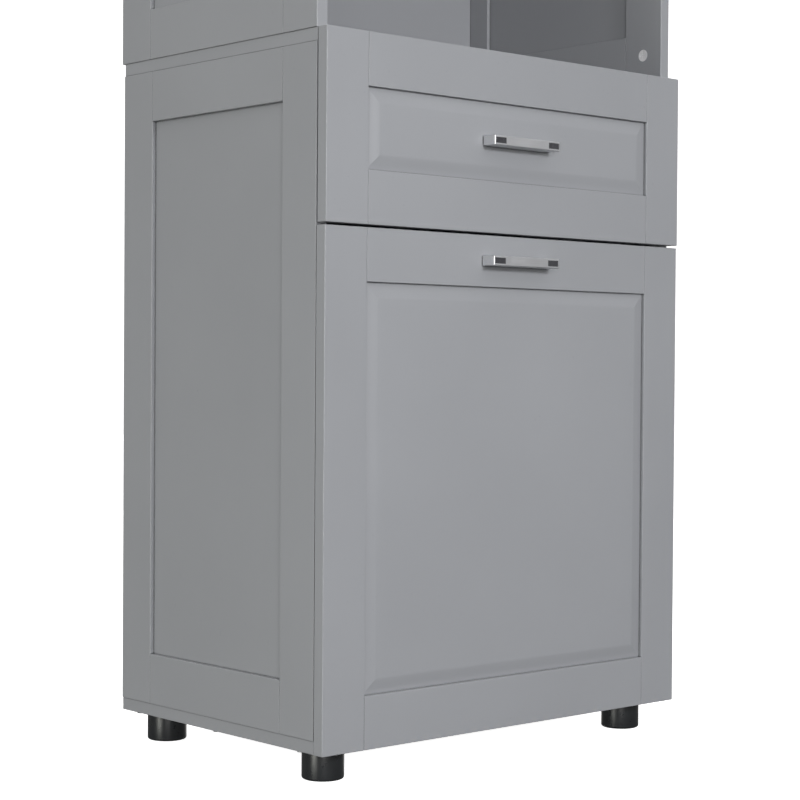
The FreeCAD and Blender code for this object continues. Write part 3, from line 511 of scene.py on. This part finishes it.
# ---------------------------------------------------------------------------
# The studio: white cloth all round on a white floor. Soft boxes stand low to the
# left, broad in front and behind to the right, and a smaller lamp hangs in front.
# The camera is at the cabinet's front left, at knee height, with a long lens.
# ---------------------------------------------------------------------------
LENS = 87.73
CAMERA_PLACE = (-1.6288, -1.8163, 0.4611)
CAMERA_YAW, CAMERA_PITCH, CAMERA_ROLL = 41.627, -0.992, 0.374
SWEEP_HALF = 9.0
CLOTH_GREY, CLOTH_WHITE = (0.78, 0.78, 0.78), (0.82, 0.82, 0.82)
CLOTH_GLOW = 0.96
ROOM_LOW, ROOM_LEVEL, ROOM_HIGH = 0.12, 0.38, 0.9  # light from below, level and above
ROOM_DARK_TO, ROOM_LEVEL_AT = 0.40, 0.52          # heights on the sky from 0 below to 1 above
scene = bpy.context.scene

eye = bpy.data.cameras.new("camera")
eye.lens = LENS
eye.sensor_width = 36.0
camera = bpy.data.objects.new("camera", eye)
scene.collection.objects.link(camera)
camera.matrix_world = (Matrix.Translation(CAMERA_PLACE)
                       @ Matrix.Rotation(math.radians(-CAMERA_YAW), 4, "Z")
                       @ Matrix.Rotation(math.radians(90 + CAMERA_PITCH), 4, "X")
                       @ Matrix.Rotation(math.radians(CAMERA_ROLL), 4, "Z"))
scene.camera = camera
scene.view_settings.view_transform = "Standard"


def soft_box(name, place, aim, width, height, power, tint):
    """A rectangular lamp at place, its face turned to the point aim."""
    lamp = bpy.data.lights.new(name, "AREA")
    lamp.shape = "RECTANGLE"
    lamp.size = width
    lamp.size_y = height
    lamp.energy = power
    lamp.color = tint
    stand = bpy.data.objects.new(name, lamp)
    scene.collection.objects.link(stand)
    stand.location = place
    to_aim = [a - p for a, p in zip(aim, place)]
    climb = math.atan2(to_aim[2], math.hypot(to_aim[0], to_aim[1]))
    stand.rotation_euler = (math.pi / 2 + climb, 0, -math.atan2(to_aim[0], to_aim[1]))


soft_box("left_box", (-3.2, -0.3, 0.1), (-0.3, 0.1, 0.2), 1.2, 1.2, 33.0, (0.99, 1.0, 0.93))
soft_box("broad_box", (-2.1, -2.9, 0.8), (0, 0, 0.35), 1.5, 1.5, 47.0, (1.0, 0.992, 0.98))
soft_box("front_lamp", (-0.3, -3.5, 1.5), (0, 0, 0.4), 0.5, 0.5, 62.0, (0.98, 0.985, 1.0))
soft_box("rear_box", (2.6, 2.2, 1.2), (0.1, 0.1, 0.8), 4.2, 4.2, 46.0, (1.0, 0.99, 0.97))

room = bpy.data.worlds.new("room")
scene.world = room
room.use_nodes = True
sky = room.node_tree
direction = sky.nodes.new("ShaderNodeTexCoord")
parts_of = sky.nodes.new("ShaderNodeSeparateXYZ")
upward = sky.nodes.new("ShaderNodeMapRange")
upward.inputs["From Min"].default_value = -1.0
ramp = sky.nodes.new("ShaderNodeValToRGB")
sky.links.new(direction.outputs["Generated"], parts_of.inputs["Vector"])
sky.links.new(parts_of.outputs["Z"], upward.inputs["Value"])
sky.links.new(upward.outputs["Result"], ramp.inputs["Fac"])
sky.links.new(ramp.outputs["Color"], sky.nodes["Background"].inputs["Color"])
stops = ramp.color_ramp.elements
stops[0].position, stops[1].position = ROOM_DARK_TO, 1.0
stops[0].color = (ROOM_LOW, ROOM_LOW, ROOM_LOW, 1)
stops[1].color = (ROOM_HIGH, ROOM_HIGH, ROOM_HIGH, 1)
level_stop = stops.new(ROOM_LEVEL_AT)
level_stop.color = (ROOM_LEVEL, ROOM_LEVEL, ROOM_LEVEL, 1)


def backdrop(name, points, faces):
    """A white surface that only the camera sees, so it throws no light on the cabinet."""
    mesh = bpy.data.meshes.new(name)
    mesh.from_pydata(points, [], faces)
    piece = bpy.data.objects.new(name, mesh)
    scene.collection.objects.link(piece)
    white = Recipe(name)
    tone = white.noise(white.place(), 0.5)
    white.colour(white.blend(tone, CLOTH_GREY, CLOTH_WHITE))
    white.settle(Roughness=0.9, Emission_Color=(1, 1, 1, 1), Emission_Strength=CLOTH_GLOW)
    mesh.materials.append(white.material)
    piece.visible_diffuse = False
    piece.visible_glossy = False
    piece.visible_transmission = False
    piece.visible_shadow = False


floor_points = [(-SWEEP_HALF, -SWEEP_HALF, 0), (SWEEP_HALF, -SWEEP_HALF, 0),
                (SWEEP_HALF, SWEEP_HALF, 0), (-SWEEP_HALF, SWEEP_HALF, 0)]
top_points = [(x, y, 2 * SWEEP_HALF) for x, y, _ in floor_points]
backdrop("studio_floor", floor_points, [(0, 1, 2, 3)])
backdrop("studio_ground", floor_points + top_points,
         [(0, 4, 5, 1), (1, 5, 6, 2), (2, 6, 7, 3), (3, 7, 4, 0), (4, 7, 6, 5)])
